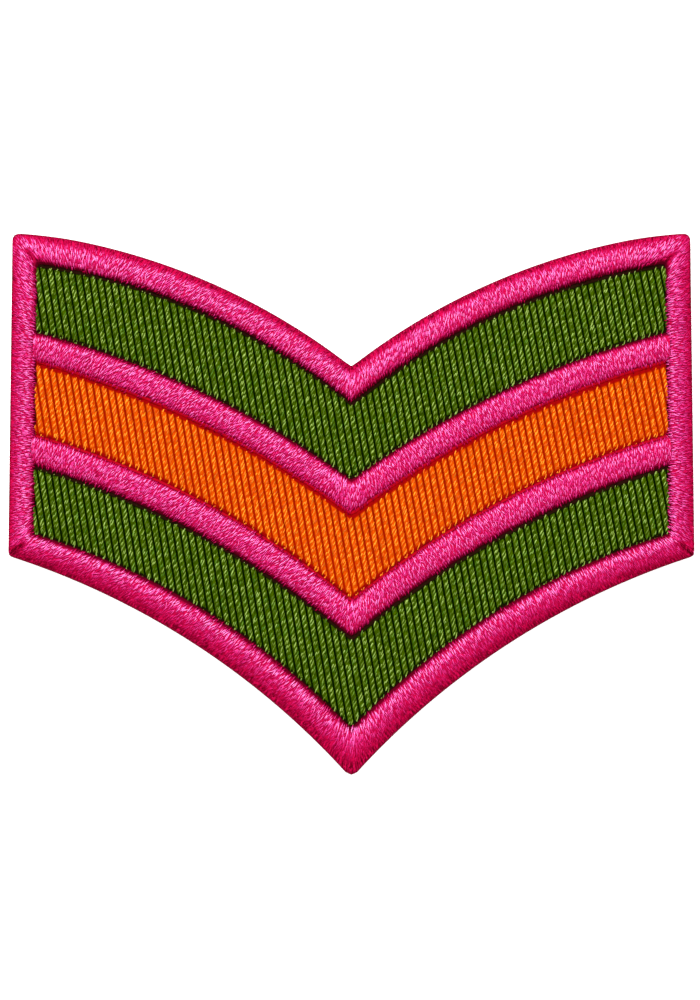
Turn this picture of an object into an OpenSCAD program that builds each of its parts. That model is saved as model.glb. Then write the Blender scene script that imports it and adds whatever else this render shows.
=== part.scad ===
// Rank chevron patch: three stripes of twill cloth, edged and joined by satin-stitched bands.
// It lies flat with its embroidered face up (+Z) and its point towards -Y. Lengths are millimetres.
// The origin is the middle of the patch in plan, on the underside of the stitching.

/* [Outline] */
// Width across the two lower corners
patch_w = 90; // [80:1:110]
// Distance that each upper corner lies inside the lower corner below it
side_lean = 0.55; // [0:0.05:2]
// Drop of the upper edge from the sides to the notch
notch_drop = 17.8; // [13:0.2:24]
// Bow of the upper edge out of a straight line from side to notch
top_bow = 3.5; // [1:0.1:5]
// Bow of the lower edge out of a straight line from side to point
foot_bow = 3.6; // [1:0.1:5]
// Bow of the upper bar
upper_bar_bow = 2.5; // [1:0.1:5]
// Bow of the lower bar
lower_bar_bow = 2.8; // [1:0.1:5]

/* [Stripes] */
// Height of the upper stripe's cloth that shows at the sides
upper_stripe_side_h = 8.4; // [6:0.1:12]
// Height of the upper stripe's cloth that shows on the centre line
upper_stripe_mid_h = 9.8; // [7:0.1:14]
// Height of the middle stripe's cloth that shows at the sides
middle_stripe_side_h = 9.1; // [6:0.1:12]
// Height of the middle stripe's cloth that shows on the centre line
middle_stripe_mid_h = 10.5; // [7:0.1:14]
// Height of the lower stripe's cloth that shows at the sides
lower_stripe_side_h = 8.8; // [6:0.1:12]
// Height of the lower stripe's cloth that shows on the centre line
lower_stripe_mid_h = 11.6; // [7:0.1:15]
// Thickness of the twill cloth
cloth_t = 1; // [0.6:0.05:2]

/* [Satin bands] */
// Width of the border along the upper edge, and along the lower edge at its corners
border_w = 3.85; // [3:0.05:6]
// Width of the border down each side
side_border_w = 3.5; // [3:0.05:6]
// Width of the border beside the point
point_border_w = 4.75; // [3:0.05:7]
// Width of the bar between the upper and the middle stripe
upper_bar_w = 4.1; // [3:0.05:6]
// Width of the bar between the middle and the lower stripe
lower_bar_w = 4.2; // [3:0.05:6]
// Height of the satin above the cloth
satin_rise = 0.8; // [0.4:0.05:1.5]
// Thickness of the stitching on the underside
back_t = 0.2; // [0.15:0.05:0.5]
// Thickness of the stitching that wraps the cloth's edge
rim_w = 0.5; // [0.3:0.05:0.9]
// Thickness of the stitching that passes down between two stripes
web_w = 0.4; // [0.2:0.05:0.8]
// Gap between stitching and cloth, and between the ends of the bars and the border
seat_gap = 0.05; // [0.03:0.01:0.15]

/* [Corners] */
// Radius of the two upper corners
upper_corner_r = 1.0; // [0.3:0.1:1.5]
// Radius of the two lower corners
lower_corner_r = 0.6; // [0.3:0.1:1.5]
// Radius of the point
point_r = 1.0; // [0.5:0.1:2]
// Radius in the bottom of the notch
notch_r = 0.3; // [0.2:0.1:1]
// Radius of the border's inner corners
inner_corner_r = 0.4; // [0.2:0.1:1]
// Radius of the bars' bends on the centre line
bend_r = 0.6; // [0.3:0.1:1.5]

/* [Hidden] */

satin_pink = "#dc2f76";
twill_green = "#4a6a16";
twill_orange = "#e25a0a";

// Steps along half of a band, down a side, and round a corner
RUN_STEPS = 14;
SIDE_STEPS = 8;
CORNER_STEPS = 4;

half_w = patch_w / 2;
cloth_z = back_t + seat_gap;
satin_z = cloth_z + cloth_t + seat_gap;

// Every edge that runs across the patch is one arc on each side of the centre line. A line holds
// its height at the side, its height on the centre line and its bow.
SIDE = 0;
MID = 1;
BOW = 2;

function chord(l) = [half_w, l[MID] - l[SIDE]];
function radius(l) = (pow(norm(chord(l)), 2) / 4 + pow(l[BOW], 2)) / (2 * l[BOW]);
function centre(l) =
    let (c = chord(l), up = [-c[1], c[0]] / norm(c))
    [-half_w / 2, (l[SIDE] + l[MID]) / 2] + up * (l[BOW] - radius(l));
function line_y(l, x) = centre(l)[1] + sqrt(pow(radius(l), 2) - pow(x - centre(l)[0], 2));
// Cosine of the line's slope, which turns a width across the band into a height
function lean_cos(l, x) = (line_y(l, x) - centre(l)[1]) / radius(l);
// Unit vector along the line, away from the centre line
function outward(l, x) =
    let (d = [centre(l)[1] - line_y(l, x), x - centre(l)[0]])
    d / norm(d);

// The line a band's width below another one
function below(l, side_w, mid_w, bow) =
    [l[SIDE] - side_w / lean_cos(l, -half_w), l[MID] - mid_w / lean_cos(l, 0), bow];
// The line a stripe's height below another one
function down(l, side_h, mid_h, bow) = [l[SIDE] - side_h, l[MID] - mid_h, bow];

TOP = [0, -notch_drop, top_bow];
TOP_IN = below(TOP, border_w, border_w, top_bow);
UPPER_BAR = down(TOP_IN, upper_stripe_side_h, upper_stripe_mid_h, upper_bar_bow);
UPPER_BAR_LOW = below(UPPER_BAR, upper_bar_w, upper_bar_w, upper_bar_bow);
LOWER_BAR = down(UPPER_BAR_LOW, middle_stripe_side_h, middle_stripe_mid_h, lower_bar_bow);
LOWER_BAR_LOW = below(LOWER_BAR, lower_bar_w, lower_bar_w, lower_bar_bow);
FOOT_IN = down(LOWER_BAR_LOW, lower_stripe_side_h, lower_stripe_mid_h, foot_bow);
FOOT = below(FOOT_IN, border_w, point_border_w, foot_bow);

// Left side edge, moved inwards by inset
top_corner_y = line_y(TOP, -half_w + side_lean);
side_run = [side_lean, top_corner_y - FOOT[SIDE]];
side_up = side_run / norm(side_run);
function side_x(y, inset) = -half_w + inset + side_run[0] * (y - FOOT[SIDE]) / side_run[1];
// Point where a line meets the left side edge, moved inwards by inset
function meet(l, inset) =
    let (y_near = line_y(l, -half_w + inset), y = line_y(l, side_x(y_near, inset)))
    [side_x(y, inset), y];

// Arc of radius r in the corner at c between unit vectors a and b, from a's side to b's side.
// It starts at the share named from.
function corner(c, a, b, r, from = 0) =
    let (
        open = acos(a * b),
        middle = c + (a + b) / norm(a + b) * r / sin(open / 2),
        start = (c + a * r / tan(open / 2) - middle) / r,
        end = (c + b * r / tan(open / 2) - middle) / r,
        turn = 180 - open
    )
    [for (i = [0 : CORNER_STEPS])
        let (t = from + (1 - from) * i / CORNER_STEPS)
        middle + r * (sin((1 - t) * turn) * start + sin(t * turn) * end) / sin(turn)];

function mirrored(p) = [-p[0], p[1]];
function reversed(list) = [for (i = [len(list) - 1 : -1 : 0]) list[i]];
function last(list) = list[len(list) - 1];
function between(a, b, share) = a + (b - a) * share;
// The second half of an outline, mirrored from the first, without the points on the centre line
function right_half(left) = [for (i = [len(left) - 2 : -1 : 1]) mirrored(left[i])];

// Left half of the arc in a line's bend, from the centre line outwards
function bend(l, r) = corner([0, l[MID]], mirrored(outward(l, 0)), outward(l, 0), r, 0.5);
// Points along a line between two x, without its ends
function run(l, x_from, x_to) =
    [for (i = [1 : RUN_STEPS - 1])
        let (x = x_from + (x_to - x_from) * i / RUN_STEPS)
        [x, line_y(l, x)]];

// One rail of the border's left half, as three lists: along the top from the notch to the corner,
// down the side, and along the foot from the corner to the point
function border_rail(top, foot, inset, notch_bend, top_corner, foot_corner, point_bend) =
    let (
        up_c = meet(top, inset),
        low_c = meet(foot, inset),
        start = bend(top, notch_bend),
        up_arc = corner(up_c, -outward(top, up_c[0]), -side_up, top_corner),
        low_arc = corner(low_c, side_up, -outward(foot, low_c[0]), foot_corner),
        end = reversed(bend(foot, point_bend))
    )
    [
        concat(start, run(top, last(start)[0], up_arc[0][0]), up_arc),
        [for (i = [1 : SIDE_STEPS - 1]) between(last(up_arc), low_arc[0], i / SIDE_STEPS)],
        concat(low_arc, run(foot, last(low_arc)[0], end[0][0]), end)
    ];

OUTER = border_rail(TOP, FOOT, 0, notch_r, upper_corner_r, lower_corner_r, point_r);
INNER = border_rail(TOP_IN, FOOT_IN, side_border_w, inner_corner_r, inner_corner_r, inner_corner_r,
    inner_corner_r);

// Origin in the middle of the patch in plan
mid_y = (max([for (p = OUTER[0]) p[1]]) + last(OUTER[2])[1]) / 2;

// Left half of a bar's rail, from the centre line out to the border
function bar_rail(l) =
    let (start = bend(l, bend_r), end = meet(l, side_border_w + seat_gap))
    concat(start, run(l, last(start)[0], end[0]), [end]);

// Crown of the border as shares of its width and of the satin's rise, from its inner edge out.
// It is highest past the middle, and its outer part rolls down over the cloth's edge.
ACROSS = 0;
RISE = 1;
BORDER_CROWN = [
    // across, rise
    [1, 0], [0.985, 0.3], [0.93, 0.62], [0.85, 0.86], [0.75, 0.97], [0.64, 1],
    [0.52, 0.965], [0.4, 0.87], [0.27, 0.69], [0.15, 0.44], [0.06, 0.14], [0, -0.4]
];
// Crown of a bar, from its lower edge to its upper edge
BAR_CROWN = [
    // across, rise
    [1, 0], [0.985, 0.3], [0.92, 0.56], [0.82, 0.79], [0.68, 0.95], [0.5, 1],
    [0.32, 0.95], [0.18, 0.79], [0.08, 0.56], [0.015, 0.3], [0, 0]
];
// Rounding of the rim's lower edge, as a share of the rim's thickness
RIM_ROUNDING = 0.3;

function crown(table) = [for (row = table) [row[ACROSS], satin_z + row[RISE] * satin_rise]];

// The border's section is a C whose slot holds the edge of the cloth. Its places across are shares
// of the border's width.
rim_share = rim_w / border_w;
cloth_share = (rim_w + seat_gap) / border_w;
border_section = concat(crown(BORDER_CROWN), [
    [0, rim_w * RIM_ROUNDING], [rim_share * RIM_ROUNDING, 0], [1, 0],
    [1, back_t], [rim_share, back_t], [rim_share, satin_z]
]);

// A bar's section is an I whose web passes between two stripes. The stitching on the underside is a
// little narrower than the crown, by this share of the bar's width on each side.
BACK_INSET = 0.04;
function bar_section(bar_w) =
    let (web_share = web_w / 2 / bar_w)
    concat(crown(BAR_CROWN), [
        [0.5 - web_share, satin_z], [0.5 - web_share, back_t],
        [BACK_INSET, back_t], [BACK_INSET, 0], [1 - BACK_INSET, 0], [1 - BACK_INSET, back_t],
        [0.5 + web_share, back_t], [0.5 + web_share, satin_z]
    ]);

// Solid whose section is stretched between two rails. A section point is a share of the way from
// the first rail to the second, and a height.
module swept(rail_a, rail_b, section, closed) {
    n = len(section);
    stations = len(rail_a);
    points = [for (i = [0 : stations - 1], s = section)
        let (p = between(rail_a[i], rail_b[i], s[0]))
        [p[0], p[1] - mid_y, s[1]]];
    spans = closed ? stations : stations - 1;
    walls = [for (i = [0 : spans - 1], j = [0 : n - 1])
        let (a = i * n, b = ((i + 1) % stations) * n, k = (j + 1) % n)
        each [[a + j, b + j, b + k], [a + j, b + k, a + k]]];
    ends = closed ? [] : [
        [for (j = [0 : n - 1]) j],
        [for (j = [n - 1 : -1 : 0]) (stations - 1) * n + j]
    ];
    polyhedron(points = points, faces = concat(walls, ends), convexity = 4);
}

// Cloth with the left half of its outline given
module cloth(left) {
    translate([0, -mid_y, cloth_z])
        linear_extrude(cloth_t)
            polygon(concat(left, right_half(left)));
}

// Edge of the cloth inside the border's top or foot, on the left half
function cloth_edge(outer, inner) =
    [for (i = [0 : len(outer) - 1]) between(outer[i], inner[i], cloth_share)];

// Edge of the cloth beside a bar's web, on the left half, from the centre line out to the rim.
// The side is -1 above the web and 1 below it.
function butt_edge(l, l_low, bar_w, side) =
    let (
        share = 0.5 + side * (web_w / 2 + seat_gap) / bar_w,
        upper = concat(bar_rail(l), [meet(l, cloth_share * side_border_w)]),
        lower = concat(bar_rail(l_low), [meet(l_low, cloth_share * side_border_w)])
    )
    [for (i = [0 : len(upper) - 1]) between(upper[i], lower[i], share)];

module upper_stripe() {
    color(twill_green)
        cloth(concat(
            cloth_edge(OUTER[0], INNER[0]),
            reversed(butt_edge(UPPER_BAR, UPPER_BAR_LOW, upper_bar_w, -1))
        ));
}

module middle_stripe() {
    color(twill_orange)
        cloth(concat(
            butt_edge(UPPER_BAR, UPPER_BAR_LOW, upper_bar_w, 1),
            reversed(butt_edge(LOWER_BAR, LOWER_BAR_LOW, lower_bar_w, -1))
        ));
}

module lower_stripe() {
    color(twill_green)
        cloth(concat(
            butt_edge(LOWER_BAR, LOWER_BAR_LOW, lower_bar_w, 1),
            cloth_edge(OUTER[2], INNER[2])
        ));
}

module outer_border() {
    outer_left = concat(OUTER[0], OUTER[1], OUTER[2]);
    inner_left = concat(INNER[0], INNER[1], INNER[2]);
    color(satin_pink)
        swept(
            concat(outer_left, right_half(outer_left)),
            concat(inner_left, right_half(inner_left)),
            border_section,
            true
        );
}

module bar(l, l_low, bar_w) {
    upper = bar_rail(l);
    lower = bar_rail(l_low);
    color(satin_pink)
        swept(
            concat(reversed(upper), [for (i = [1 : len(upper) - 1]) mirrored(upper[i])]),
            concat(reversed(lower), [for (i = [1 : len(lower) - 1]) mirrored(lower[i])]),
            bar_section(bar_w),
            false
        );
}

module upper_bar() {
    bar(UPPER_BAR, UPPER_BAR_LOW, upper_bar_w);
}

module lower_bar() {
    bar(LOWER_BAR, LOWER_BAR_LOW, lower_bar_w);
}

upper_stripe();
middle_stripe();
lower_stripe();
outer_border();
upper_bar();
lower_bar();
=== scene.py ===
"""Rank chevron patch: twisted threads of satin stitch over three stripes of twill cloth.

The patch lies flat with its face up (+Z) and its point towards -Y. Lengths are millimetres until
a mesh is made, which is in metres. Edges and rails have y from the sides' upper ends, and rails are
the left half's. Bands mirror them, and have y from the middle of the patch.
"""
import math

import bpy
import numpy as np
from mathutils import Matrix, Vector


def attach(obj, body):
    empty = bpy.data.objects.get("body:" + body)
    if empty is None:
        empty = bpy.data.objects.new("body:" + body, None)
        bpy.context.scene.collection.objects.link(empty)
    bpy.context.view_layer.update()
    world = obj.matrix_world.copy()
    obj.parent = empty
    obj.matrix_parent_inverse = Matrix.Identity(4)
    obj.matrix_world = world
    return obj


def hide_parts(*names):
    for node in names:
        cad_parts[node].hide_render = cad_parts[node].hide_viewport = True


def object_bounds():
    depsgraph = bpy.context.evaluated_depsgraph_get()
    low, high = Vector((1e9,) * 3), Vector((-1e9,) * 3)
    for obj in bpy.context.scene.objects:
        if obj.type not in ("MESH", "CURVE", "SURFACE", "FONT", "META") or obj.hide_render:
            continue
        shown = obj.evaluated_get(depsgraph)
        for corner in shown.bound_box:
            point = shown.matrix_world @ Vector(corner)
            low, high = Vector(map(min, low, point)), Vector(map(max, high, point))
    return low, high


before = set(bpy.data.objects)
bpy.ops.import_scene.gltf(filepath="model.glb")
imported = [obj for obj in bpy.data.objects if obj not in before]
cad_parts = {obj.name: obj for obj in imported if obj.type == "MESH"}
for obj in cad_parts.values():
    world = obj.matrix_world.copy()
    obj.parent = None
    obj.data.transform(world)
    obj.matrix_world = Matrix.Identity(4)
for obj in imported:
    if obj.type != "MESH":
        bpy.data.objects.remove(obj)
cad_low, cad_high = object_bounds()

MM = 0.001
chance = np.random.default_rng(4147)

# Sizes of the patch, the same as those of the solids
HALF_W = 45.0
SIDE_LEAN = 0.55
NOTCH_DROP = 17.8
TOP_BOW = 3.5
FOOT_BOW = 3.6
UPPER_BAR_BOW = 2.5
LOWER_BAR_BOW = 2.8
UPPER_STRIPE_SIDE_H = 8.4
UPPER_STRIPE_MID_H = 9.8
MIDDLE_STRIPE_SIDE_H = 9.1
MIDDLE_STRIPE_MID_H = 10.5
LOWER_STRIPE_SIDE_H = 8.8
LOWER_STRIPE_MID_H = 11.6
BORDER_W = 3.85
SIDE_BORDER_W = 3.5
POINT_BORDER_W = 4.75
UPPER_BAR_W = 4.1
LOWER_BAR_W = 4.2
SOLID_CORNER_R = 1.0
LOWER_CORNER_R = 0.6
POINT_R = 1.0
NOTCH_R = 0.3
INNER_CORNER_R = 0.4
BEND_R = 0.6
# The upper corners as they show: rounding, droop of the outer and inner edge, where it starts, curve
UPPER_CORNER_R = 0.75
TOP_DROOP = 0.28
TOP_IN_DROOP = 0.12
DROOP_FROM = 36.0
DROOP_POWER = 1.5
# How far the bars' threads reach under the side border
BAR_TUCK = 0.5
HANDS = {"left": -1, "right": 1}

# Shares by which a rail is measured, and the one after which its highest point comes
RAIL_STEPS = 400
SHARES = np.linspace(0, 1, RAIL_STEPS)
CORNER_SHARE = 0.9
# Share without threads at a band's ends, and step by which its direction is measured
END_SHARE = 0.002
# Steps by which directions are measured: a length, and a share along the band
NEAR = 0.02
NEAR_SHARE = 0.001


def unit(v):
    """Vectors at length one."""
    return v / np.linalg.norm(v, axis=-1, keepdims=True)


def travelled(points):
    """Distance along a line of points, at each point."""
    steps = np.linalg.norm(np.diff(points, axis=0), axis=1)
    return np.concatenate([[0], np.cumsum(steps)])


class Edge:
    """An edge across the patch: an arc on each side of the centre line, by its heights at the side
    and in the middle and its bow out of a straight line. It may droop at its corners."""

    def __init__(self, side, mid, bow, droop=0):
        chord = np.array([HALF_W, mid - side])
        length = np.hypot(*chord)
        self.side = side
        self.mid = mid
        self.droop = droop
        self.radius = (length**2 / 4 + bow**2) / (2 * bow)
        up = np.array([-chord[1], chord[0]]) / length
        self.centre = np.array([-HALF_W / 2, (side + mid) / 2]) + up * (bow - self.radius)

    def y(self, x):
        """Height at x, on either side of the centre line."""
        arc = self.centre[1] + np.sqrt(self.radius**2 - (-abs(x) - self.centre[0]) ** 2)
        outside = np.clip((abs(x) - DROOP_FROM) / (HALF_W - DROOP_FROM), 0, 1)
        return arc - self.droop * outside**DROOP_POWER

    def lean_cos(self, x):
        """Cosine of the slope, which turns a width across a band into a height."""
        return (self.y(x) - self.centre[1]) / self.radius

    def outward(self, x):
        """Unit vector along the left half, away from the centre line."""
        return unit(np.array([self.centre[1] - self.y(x), -abs(x) - self.centre[0]]))

    def below(self, side_w, mid_w, bow, droop=0):
        """The edge a band's width below this one."""
        side = self.side - side_w / self.lean_cos(HALF_W)
        return Edge(side, self.mid - mid_w / self.lean_cos(0), bow, droop)

    def down(self, side_h, mid_h, bow):
        """The edge a stripe's height below this one."""
        return Edge(self.side - side_h, self.mid - mid_h, bow)


# The top edge of the solids, and the one that shows
SOLID_TOP = Edge(0, -NOTCH_DROP, TOP_BOW)
TOP = Edge(0, -NOTCH_DROP, TOP_BOW, TOP_DROOP)
TOP_IN = TOP.below(BORDER_W, BORDER_W, TOP_BOW, TOP_IN_DROOP)
UPPER_BAR = TOP_IN.down(UPPER_STRIPE_SIDE_H, UPPER_STRIPE_MID_H, UPPER_BAR_BOW)
UPPER_BAR_LOW = UPPER_BAR.below(UPPER_BAR_W, UPPER_BAR_W, UPPER_BAR_BOW)
LOWER_BAR = UPPER_BAR_LOW.down(MIDDLE_STRIPE_SIDE_H, MIDDLE_STRIPE_MID_H, LOWER_BAR_BOW)
LOWER_BAR_LOW = LOWER_BAR.below(LOWER_BAR_W, LOWER_BAR_W, LOWER_BAR_BOW)
FOOT_IN = LOWER_BAR_LOW.down(LOWER_STRIPE_SIDE_H, LOWER_STRIPE_MID_H, FOOT_BOW)
FOOT = FOOT_IN.below(BORDER_W, POINT_BORDER_W, FOOT_BOW)

SIDE_RISE = TOP.y(HALF_W - SIDE_LEAN) - FOOT.side
SIDE_UP = unit(np.array([SIDE_LEAN, SIDE_RISE]))


def meet(edge, inset):
    """Point where an edge meets the left side edge, moved inwards by inset."""
    y = edge.y(-HALF_W + inset)
    x = -HALF_W + inset + SIDE_LEAN * (y - FOOT.side) / SIDE_RISE
    return np.array([x, edge.y(x)])


def rounded(points, tip, a, b, radius):
    """Points near a corner, moved onto its arc. Its sides leave the tip along unit vectors a, b."""
    half = math.acos(a @ b) / 2
    middle = tip + unit(a + b) * radius / math.sin(half)
    reach = radius / math.tan(half)
    near = np.linalg.norm(points - tip, axis=-1, keepdims=True) < reach
    return np.where(near, middle + unit(points - middle) * radius, points)


def across_rail(edge, inset, bend, corner, corner_side):
    """Left half of a rail along an edge, by the share of the way from the centre line to the inset
    side. Its bend on the centre line and its corner at the side are rounded."""
    end = meet(edge, inset)

    def rail(share):
        x = end[0] * share
        points = np.stack([x, edge.y(x)], -1)
        out = edge.outward(0)
        points = rounded(points, np.array([0, edge.mid]), out, out * [-1, 1], bend)
        if corner:
            points = rounded(points, end, -edge.outward(end[0]), corner_side, corner)
        return points

    return rail


def side_rail(upper, lower, inset, top_r, foot_r):
    """Rail down the left side between two edges, by the share of the way down."""
    top = meet(upper, inset)
    foot = meet(lower, inset)

    def rail(share):
        points = top + (foot - top) * share[..., None]
        points = rounded(points, top, -SIDE_UP, -upper.outward(top[0]), top_r)
        return rounded(points, foot, SIDE_UP, -lower.outward(foot[0]), foot_r)

    return rail


SOLID_RAIL = across_rail(SOLID_TOP, 0, NOTCH_R, SOLID_CORNER_R, -SIDE_UP)
# Middle of the patch, from the highest point of the solids
MID_Y = SOLID_RAIL(np.linspace(CORNER_SHARE, 1, RAIL_STEPS))[:, 1].max() - cad_high.y / MM


class Band:
    """Half of a satin band, between two rails. Its hand is -1 on the left and 1 on the right."""

    def __init__(self, outer, inner, hand):
        self.outer = outer
        self.inner = inner
        self.hand = hand
        self.lengths = travelled(self.place(SHARES, 0.5, 0))
        self.length = self.lengths[-1]

    def place(self, share, across, height):
        """Points at a share along the band and a share across it, at a height."""
        a = self.outer(share)
        p = a + (self.inner(share) - a) * np.asarray(across)[..., None]
        return np.stack([-self.hand * p[..., 0], p[..., 1] - MID_Y, height + 0 * share], -1)


def border_bands(hand):
    """The border's three bands on one side."""
    inner = (INNER_CORNER_R, INNER_CORNER_R)
    rails = {
        "top": (across_rail(TOP, 0, NOTCH_R, UPPER_CORNER_R, -SIDE_UP),
                across_rail(TOP_IN, SIDE_BORDER_W, *inner, -SIDE_UP)),
        "side": (side_rail(TOP, FOOT, 0, UPPER_CORNER_R, LOWER_CORNER_R),
                 side_rail(TOP_IN, FOOT_IN, SIDE_BORDER_W, *inner)),
        "foot": (across_rail(FOOT, 0, POINT_R, LOWER_CORNER_R, SIDE_UP),
                 across_rail(FOOT_IN, SIDE_BORDER_W, *inner, SIDE_UP)),
    }
    return {part: Band(*pair, hand) for part, pair in rails.items()}


def bar_bands(upper, lower):
    """The two halves of a bar."""
    rails = [across_rail(edge, SIDE_BORDER_W - BAR_TUCK, BEND_R, 0, None) for edge in (upper, lower)]
    return {side: Band(*rails, hand) for side, hand in HANDS.items()}


# Steps of a curve from one point of its table to the next
CURVE_STEPS = 6


def smooth(points):
    """A curve through points, by Catmull-Rom pieces."""
    p = np.array(points, float)
    p = np.concatenate([[2 * p[0] - p[1]], p, [2 * p[-1] - p[-2]]])
    t = np.linspace(0, 1, CURVE_STEPS, endpoint=False)[:, None]
    pieces = [
        0.5 * (2 * b + (c - a) * t + (2 * a - 5 * b + 4 * c - d) * t**2 + (3 * b - a - 3 * c + d) * t**3)
        for a, b, c, d in zip(p, p[1:], p[2:], p[3:])
    ]
    return np.concatenate([*pieces, p[-2:-1]])


class Course:
    """A thread's section, by the distance along it."""

    def __init__(self, path, width):
        curve = smooth(path)
        self.places = travelled(curve * [width, 1])
        self.shares, self.heights = curve.T
        self.length = self.places[-1]

    def across(self, places):
        """Shares across the band."""
        return np.interp(places, self.places, self.shares)

    def height(self, places):
        """Heights."""
        return np.interp(places, self.places, self.heights)


# Middle line of a thread over the border: share of the width from its outer edge, and height
BORDER_PATH = [
    (0.99, 0.6), (0.98, 0.88), (0.955, 1.1), (0.92, 1.3), (0.88, 1.52), (0.815, 1.72), (0.73, 1.87),
    (0.64, 1.935), (0.52, 1.905), (0.4, 1.81), (0.3, 1.66), (0.22, 1.47), (0.16, 1.33),
    (0.11, 1.24), (0.075, 1.15), (0.055, 1), (0.05, 0.6), (0.06, 0.3), (0.11, 0.18),
]
# Outside of the border's stitching under the threads, from its inner edge over the rim
CORE_PATH = [
    (0.93, 0.82), (0.975, 0.9), (0.945, 1.08), (0.91, 1.27), (0.87, 1.49), (0.81, 1.69), (0.73, 1.83),
    (0.64, 1.9), (0.52, 1.87), (0.4, 1.78), (0.3, 1.63), (0.22, 1.44), (0.15, 1.3),
    (0.1, 1.22), (0.045, 1.12), (0.014, 0.98), (0.006, 0.6), (0.014, 0.25), (0.09, 0.1),
]
# Middle line of a thread over a bar, from its lower edge
BAR_PATH = [
    (0.99, 0.6), (0.98, 0.88), (0.955, 1.07), (0.91, 1.27), (0.845, 1.5), (0.765, 1.72), (0.65, 1.88),
    (0.5, 1.935), (0.36, 1.85), (0.26, 1.71), (0.18, 1.53), (0.11, 1.31), (0.065, 1.05), (0.05, 0.85),
    (0.05, 0.4),
]

# Satin thread: three plies twisted together
THREAD_PITCH = 0.2
THREAD_LAY = 1.65
THREAD_PLIES = 3
PLY_R = 0.075
HELIX_R = 0.055
# How far a ply winds to each side of its thread, and is turned from it on top, in degrees
PLY_SWING = 70
PLY_TURN = 11.8
# Spread of the threads' places, in pitches, of their directions, in degrees, and of heights
PITCH_SPREAD = 0.12
TURN_SPREAD = 2.5
LIFT_SPREAD = 0.02
# Spread of the plies' places along their thread, and of lay and gauge, as shares
PLACE_SPREAD = 0.1
LAY_SPREAD = 0.08
GAUGE_SPREAD = 0.07
PLY_GAUGE_SPREAD = 0.08
# Spread of the plies' directions, of those on the crown, and of the few that stray, in degrees
SWERVE = 4
CROWN_SWERVE = 9
STRAY_SWERVE = 20
STRAY_SHARE = 0.05
STRAY_LIFT = 0.04
# Shares across between which the spread goes over to the crown's, and back
CROWN = (0.15, 0.35, 0.65, 0.85)
# How much further every other thread reaches across, and its spread, as shares of half the width
REACH_STEP = 0.09
REACH_SPREAD = 0.035
# Share of a thread's lay at its ends that holds no ply's middle
BARE_END = 0.1
# Share across over which a mitre's painted shade fades at its ends, and the curve of its fade along the
# band
MITRE_SHADE_FADE = 0.2
MITRE_SHADE_POWER = 1.5
# How far a ply's lightness is kept apart from its neighbours', and the darkest ply's
TONE_APART = 0.2
TONE_LOW = 0.22
# Threads and the twill's cords twist this way, so the plies on top lean to the right
TWIST = -1
# How far round a ply shows from its top, in degrees, and how blunt its tips are
PLY_ROUND = 105
PLY_BLUNT = 6
# Step between the numbers by which the material tells plies apart
NUMBER_STEP = 0.37


def grid(rows, n, closed=False):
    """Quads between rows of n points, where each row is a ring."""
    i = np.arange(rows if closed else rows - 1)[:, None] * n
    j = np.arange(n)
    k = (j + 1) % n
    after = (i + n) % (rows * n)
    return np.stack([i + j, i + k, after + k, after + j], -1).reshape(-1, 4)


def mesh_object(name, points, quads, material, fields, triangles=()):
    """Object from arrays, with smooth faces. Fields are vertex values that the material reads."""
    mesh = bpy.data.meshes.new(name)
    count = points.size // 3
    loops = np.concatenate([np.ravel(triangles), np.ravel(quads)]).astype(np.int32)
    sizes = np.concatenate([np.full(len(triangles), 3), np.full(len(quads), 4)])
    starts = np.concatenate([[0], np.cumsum(sizes)[:-1]]).astype(np.int32)
    mesh.vertices.add(count)
    mesh.vertices.foreach_set("co", (points * MM).astype(np.float32).ravel())
    mesh.loops.add(len(loops))
    mesh.loops.foreach_set("vertex_index", loops)
    mesh.polygons.add(len(starts))
    mesh.polygons.foreach_set("loop_start", starts)
    mesh.update(calc_edges=True)
    mesh.shade_smooth()
    for field, values in fields.items():
        kind, key = ("FLOAT", "value") if values.size == count else ("FLOAT_VECTOR", "vector")
        layer = mesh.attributes.new(field, kind, "POINT")
        layer.data.foreach_set(key, values.astype(np.float32).ravel())
    mesh.materials.append(material)
    item = bpy.data.objects.new(name, mesh)
    bpy.context.scene.collection.objects.link(item)
    return item


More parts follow.
